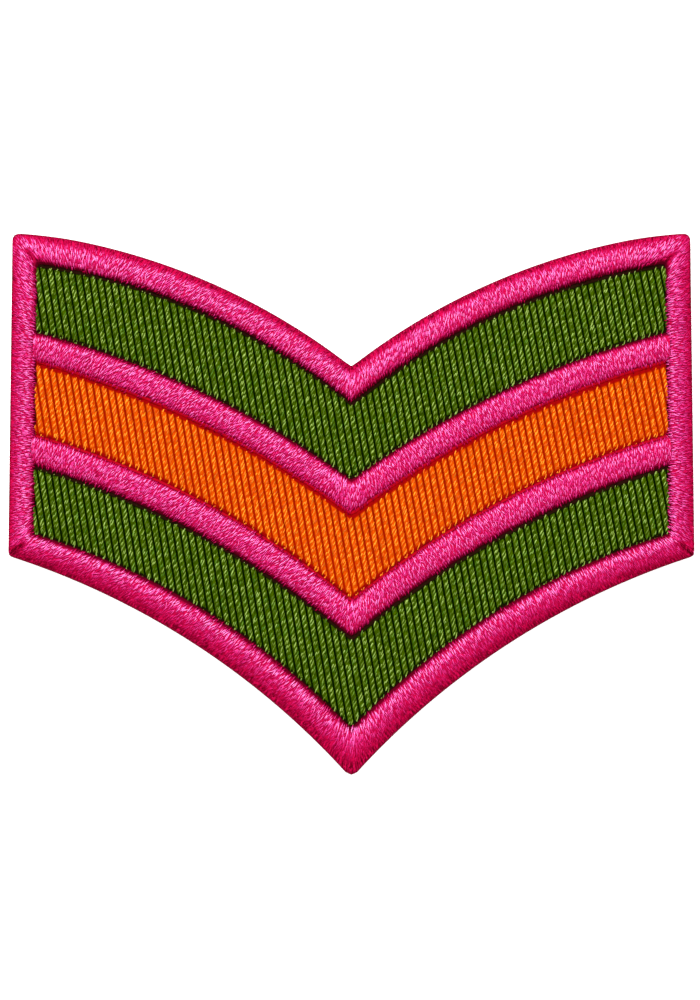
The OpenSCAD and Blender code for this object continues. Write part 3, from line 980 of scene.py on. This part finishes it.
# A core's edges get painted shade; beside the orange stripe, painted shadow lit by light bounced off it
border_core = core("border_core", border_stations(borders), border_section, True, BORDER_SHADE_FADES, (0.5, 0.5))
upper_core = core("upper_bar_core", bar_stations(bars["upper"]), bar_section, False, BAR_SHADE_FADES, (0.5, 1))
lower_core = core("lower_bar_core", bar_stations(bars["lower"]), bar_section, False, BAR_SHADE_FADES, (0.8, 0.5))
satin_pieces = [border_core, upper_core, lower_core]
for side in HANDS:
    for part, (angles, width, cover, painted_mitre_shades, shifts) in BORDER_THREADS.items():
        threads = SatinThreads(borders[side][part], angles[side], BORDER_PATH, width, ("start", "end"))
        name = f"border_{part}_threads_{side}"
        satin_pieces.append(threads.make(name, cover[side], painted_mitre_shades, shifts, satin))
    for bar, (angles, width) in BAR_THREADS.items():
        threads = SatinThreads(bars[bar][side], angles[side], BAR_PATH, width, ("start",))
        satin_pieces.append(threads.make(f"{bar}_bar_threads_{side}", BAR_COVER, {}, {}, satin))
    for part, looks in RIM[side].items():
        satin_pieces.append(rim_turns(f"border_{part}_rim_{side}", borders[side][part], *looks, rim_satin))

# Twill: cords that lean a little to the left, each with short strands wound over it
WALE_PITCH = 0.918
WALE_LEAN = 10.2
WALE_LEAN_SPREAD = 1.3
WALE_Z = 0.83
WALE_LAY = 2.55
WALE_PLY_R = 0.1
WALE_HELIX_R = 0.285
# The cords' places in wales from the centre line, with spare ones at the sides that lean in
WALE_START = 0.37
SPARE_WALES = 14
WALE_COUNT = int(HALF_W / WALE_PITCH) + SPARE_WALES
WALE_NUMBERS = np.arange(-WALE_COUNT, WALE_COUNT + 1) + WALE_START
# Strands on a turn, and in degrees how far each winds to each side, how far aside of the cord's
# top its middle lies, and the spread of that
WALE_PLIES = 8
WALE_SWING = 46
WALE_ASIDE = 35
WALE_ASIDE_SPREAD = 10
# How far a cord goes on under a band, and the least length of a cord
WALE_TUCK = 0.3
WALE_LEAST = 0.5
# Least distance of a strand's middle from the band above
WALE_GAPS = {"upper": 0.28, "middle": 0.45, "lower": 0.28}
# Spread of the strands' places, of lay and gauge, as shares, and of directions, in degrees
WALE_STRAY = 0.09
WALE_LAY_SPREAD = 0.12
WALE_GAUGE_SPREAD = 0.04
WALE_SWERVE = 3
# Lightness of the darkest and the lightest strand, and how much lighter their upper ends are, a painted
# light from above
WALE_TONES = (0.22, 0.98)
WALE_PAINTED_LIGHT_RISE = 0.35
# Length over which a cord is shaded by the band above it, and how light it stays
WALE_SHADE = (0.35, 0.4)
# Length of the painted glint where a cord runs down to a band, and how much lighter it is
WALE_GLINT = (0.35, 0.5)
# How far a cord sinks at its two ends, over what length, and how much further at most
WALE_DIPS = {"upper": (0.5, 0.9), "lower": (0.2, 0.45)}
DIP_REACH = 1.3
# Steps by which the place where a wale meets an edge is found
MEET_STEPS = 8


def wale_lines(numbers, upper, lower, tuck, above, least):
    """The twill's lines at numbers, counted in wales from the centre, where they are longer than
    least. They pass the edge above by above, the edge below and the sides by tuck. Gives their middle
    x, slope, lowest and highest y and the y where they meet the edges, and which are kept."""
    x = numbers * WALE_PITCH
    slope = np.tan(np.radians(WALE_LEAN + WALE_LEAN_SPREAD * x / HALF_W))
    limit = HALF_W - (SIDE_BORDER_W - tuck)
    ends = []
    for edge in (lower, upper):
        y = edge.y(0) + 0 * x
        for _ in range(MEET_STEPS):
            y = edge.y(np.clip(x - (y - MID_Y) * slope, -HALF_W, HALF_W))
        ends.append(y)
    edge_low, edge_high = ends
    low = np.maximum(edge_low, MID_Y + (x - limit) / slope)
    high = np.minimum(edge_high, MID_Y + (x + limit) / slope)
    low = np.where(low <= edge_low, edge_low - tuck, low)
    high = np.where(high >= edge_high, edge_high + above, high)
    kept = high - low > least
    return [a[kept] for a in (x, slope, low, high, edge_low, edge_high)], kept


def wales(name, upper, lower, gap_above, material):
    """The twill's cords on one stripe."""
    lines, _ = wale_lines(WALE_NUMBERS, upper, lower, WALE_TUCK, -gap_above, WALE_LEAST)
    x, slope, low, high, edge_low, edge_high = lines
    n = len(x)
    gap = WALE_LAY / WALE_PLIES
    each = int((high - low).max() / gap) + 2
    wale = np.repeat(np.arange(n), each)
    order = np.tile(np.arange(each), n)
    middle = (order + chance.uniform(0, 1, n)[wale]) * gap + low[wale]
    middle += chance.normal(0, WALE_STRAY, len(middle))
    inside = middle < high[wale]
    wale, order, middle = wale[inside], order[inside], middle[inside]
    m = len(wale)
    aside = WALE_ASIDE * (2 * (order % 2) - 1) + chance.normal(0, WALE_ASIDE_SPREAD, m)
    middle -= WALE_LAY * aside / 360
    lay = WALE_LAY * chance.normal(1, WALE_LAY_SPREAD, m)
    x, slope, edge_low, edge_high = (a[wale, None] for a in (x, slope, edge_low, edge_high))

    def path(y):
        dip = 0
        for end, room in (("upper", edge_high - y), ("lower", y - edge_low)):
            depth, reach = WALE_DIPS[end]
            dip = dip + depth * np.clip(1 - room / reach, 0, DIP_REACH) ** 2
        return np.stack([x - (y - MID_Y) * slope, y - MID_Y, WALE_Z - dip], -1)

    def frame_at(y):
        ahead = unit(path(y + NEAR) - path(y - NEAR))
        up = unit(np.cross(np.broadcast_to([1.0, 0, 0], ahead.shape), ahead))
        return path(y), ahead, up

    gauge = chance.normal(1, WALE_GAUGE_SPREAD, m)
    tone = chance.uniform(*WALE_TONES, m)[:, None]

    def tone_at(y):
        # Painted shadow under the band above, a painted glint at the lower tip and painted light towards
        # the upper ends
        shade = np.clip((edge_high - y) / WALE_SHADE[0], WALE_SHADE[1], 1)
        tip = WALE_GLINT[1] * np.clip(1 - (y - edge_low) / WALE_GLINT[0], 0, 1)
        rise = 1 + WALE_PAINTED_LIGHT_RISE * np.linspace(-1, 1, y.shape[1])
        return tone * shade * rise + tip

    swerve = chance.normal(0, WALE_SWERVE, m)
    return Plies(4, 3, WALE_SWING).make(
        name, material, frame_at, middle, lay, WALE_PLY_R * gauge, np.full(m, WALE_HELIX_R), tone_at,
        swerve, aside,
    )


# The cloth across one cord
WALE_PROFILE = [
    # place in wales from the cord, face height, back height, whether in the valley, which gets painted
    # shade
    (-0.45, 0.66, 0.30, 1), (-0.40, 0.80, 0.28, 1), (-0.35, 0.92, 0.26, 0), (-0.18, 1.09, 0.25, 0),
    (0, 1.13, 0.25, 0), (0.18, 1.09, 0.25, 0), (0.35, 0.92, 0.26, 0), (0.40, 0.80, 0.28, 1),
    (0.45, 0.66, 0.30, 1),
]
# How far the cloth goes on under a band, and the least length of a line of it
CLOTH_TUCK = 1.6
CLOTH_LEAST = 0.2
# Face height at a band's edge, and a little way under the band
EDGE_FACE = 0.93
TUCKED_FACE = 0.76
EDGE_TUCK = 0.3
# How far from the lower and the upper edge the ridges have their full height
RIDGE_START = 0.4
RIDGE_STOP = 0.55


def cloth(name, upper, lower, material):
    """A stripe's cloth under its cords: a slab with a ridge along each cord."""
    profile = np.array(WALE_PROFILE)
    numbers = (WALE_NUMBERS[:, None] + profile[:, 0]).ravel()
    lines, kept = wale_lines(numbers, upper, lower, CLOTH_TUCK, CLOTH_TUCK, CLOTH_LEAST)
    x, slope, low, high, edge_low, edge_high = lines
    face, back, valley = (np.tile(column, len(WALE_NUMBERS))[kept] for column in profile.T[1:])
    stations = [
        # y, face height, share of the band's edge colour, a painted shadow with light bounced off the band
        (low, TUCKED_FACE, 1), (edge_low - EDGE_TUCK, TUCKED_FACE, 1), (edge_low, EDGE_FACE, 1),
        (edge_low + RIDGE_START, face, 0), (edge_high - RIDGE_STOP, face, 0),
        (edge_high - RIDGE_STOP / 2, EDGE_FACE, 1), (edge_high, EDGE_FACE, 1),
        (edge_high + EDGE_TUCK, TUCKED_FACE, 1), (high, TUCKED_FACE, 1),
    ]
    stations = [(np.clip(y, low, high), z, edge) for y, z, edge in stations]
    ring = [(y, back) for y, _, _ in stations[::-1]] + [(y, z + 0 * x) for y, z, _ in stations]
    points = np.stack([np.stack([x - (y - MID_Y) * slope, y - MID_Y, z], -1) for y, z in ring], 1)
    rows, n = points.shape[:2]
    walls = grid(rows, n)[:, [0, 3, 2, 1]]
    ladder = np.arange(n // 2 - 1)
    cap = np.stack([ladder, ladder + 1, n - 2 - ladder, n - 1 - ladder], -1)
    quads = np.concatenate([walls, cap, (rows - 1) * n + cap[:, ::-1]])
    edges = np.array([edge for _, _, edge in stations])
    # Painted shadow with bounced light at the bands' edges, and painted shade in the valleys between cords
    rim = np.maximum(np.concatenate([0 * edges, edges]), 0.5 * valley[:, None] * (np.arange(n) >= n // 2))
    return mesh_object(name, points, quads, material, {"rim": rim})


STRIPES = {
    # edge above, edge below, thread, cloth, slot, flat size and area of the sheet in metres
    "upper": (TOP_IN, UPPER_BAR, green, green_base, "green_twill", (0.0883, 0.0338), 0.001374),
    "middle": (UPPER_BAR_LOW, LOWER_BAR, orange, orange_base, "orange_twill", (0.0886, 0.0354), 0.001215),
    "lower": (LOWER_BAR_LOW, FOOT_IN, green, green_base, "green_twill", (0.0890, 0.0422), 0.001443),
}
for name, (upper, lower, thread, base, slot, flat, area) in STRIPES.items():
    slab = cloth(f"{name}_cloth", upper, lower, base)
    cords = wales(f"{name}_wales", upper, lower, WALE_GAPS[name], thread)
    for piece in (slab, cords):
        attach(piece, "root")
    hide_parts(f"{name}_stripe")

for piece in satin_pieces:
    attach(piece, "root")
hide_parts("outer_border")
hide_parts("upper_bar")
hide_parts("lower_bar")

# Floor, in metres. It glows a little, so that it stays white beside the patch
FLOOR_REACH = 3.0
FLOOR_GREY = 0.93
FLOOR_GLOW = 0.5
WHITE = (1, 1, 1, 1)
corners = [(x * FLOOR_REACH, y * FLOOR_REACH, 0) for x, y in ((-1, -1), (1, -1), (1, 1), (-1, 1))]
floor_mesh = bpy.data.meshes.new("floor")
floor_mesh.from_pydata(corners, [], [(0, 1, 2, 3)])
floor = bpy.data.objects.new("floor", floor_mesh)
bpy.context.scene.collection.objects.link(floor)
floor_material = Material("floor")
floor_material.feed(floor_material.shader, {
    "Base Color": (FLOOR_GREY, FLOOR_GREY, FLOOR_GREY, 1), "Roughness": 0.9, "Specular IOR Level": 0.1,
    "Emission Color": WHITE, "Emission Strength": FLOOR_GLOW,
})
floor_mesh.materials.append(floor_material.data)

# Distance of the soft boxes from the patch, in metres
LIGHT_DISTANCE = 0.9


def softbox(name, azimuth, zenith, size, power):
    """Area light that looks at the patch. Azimuth, from +Y towards +X, and zenith are in degrees,
    size is in metres and power in watts."""
    data = bpy.data.lights.new(name, "AREA")
    data.shape = "RECTANGLE"
    data.size, data.size_y = size
    data.energy = power
    light = bpy.data.objects.new(name, data)
    a, z = math.radians(azimuth), math.radians(zenith)
    aim = (math.sin(z) * math.sin(a), math.sin(z) * math.cos(a), math.cos(z))
    light.location = [LIGHT_DISTANCE * part for part in aim]
    light.rotation_euler = (-z, 0, -a)
    bpy.context.scene.collection.objects.link(light)


softbox("key", -10, 36, (0.3, 0.25), 10.1)
softbox("fill", 170, 40, (0.5, 0.5), 3.0)
SKY_STRENGTH = 0.6
world = bpy.data.worlds.new("studio")
world.use_nodes = True
sky = world.node_tree.nodes["Background"]
sky.inputs["Color"].default_value = WHITE
sky.inputs["Strength"].default_value = SKY_STRENGTH
bpy.context.scene.world = world
bpy.context.scene.view_settings.view_transform = "Standard"

# Place of the camera, straight above, where the photograph's frame has it
CAMERA = (-0.18, 0.45, 364.9)
camera_data = bpy.data.cameras.new("camera")
camera_data.lens = 100
camera_data.sensor_width = 36
camera = bpy.data.objects.new("camera", camera_data)
camera.location = [part * MM for part in CAMERA]
bpy.context.scene.collection.objects.link(camera)
bpy.context.scene.camera = camera
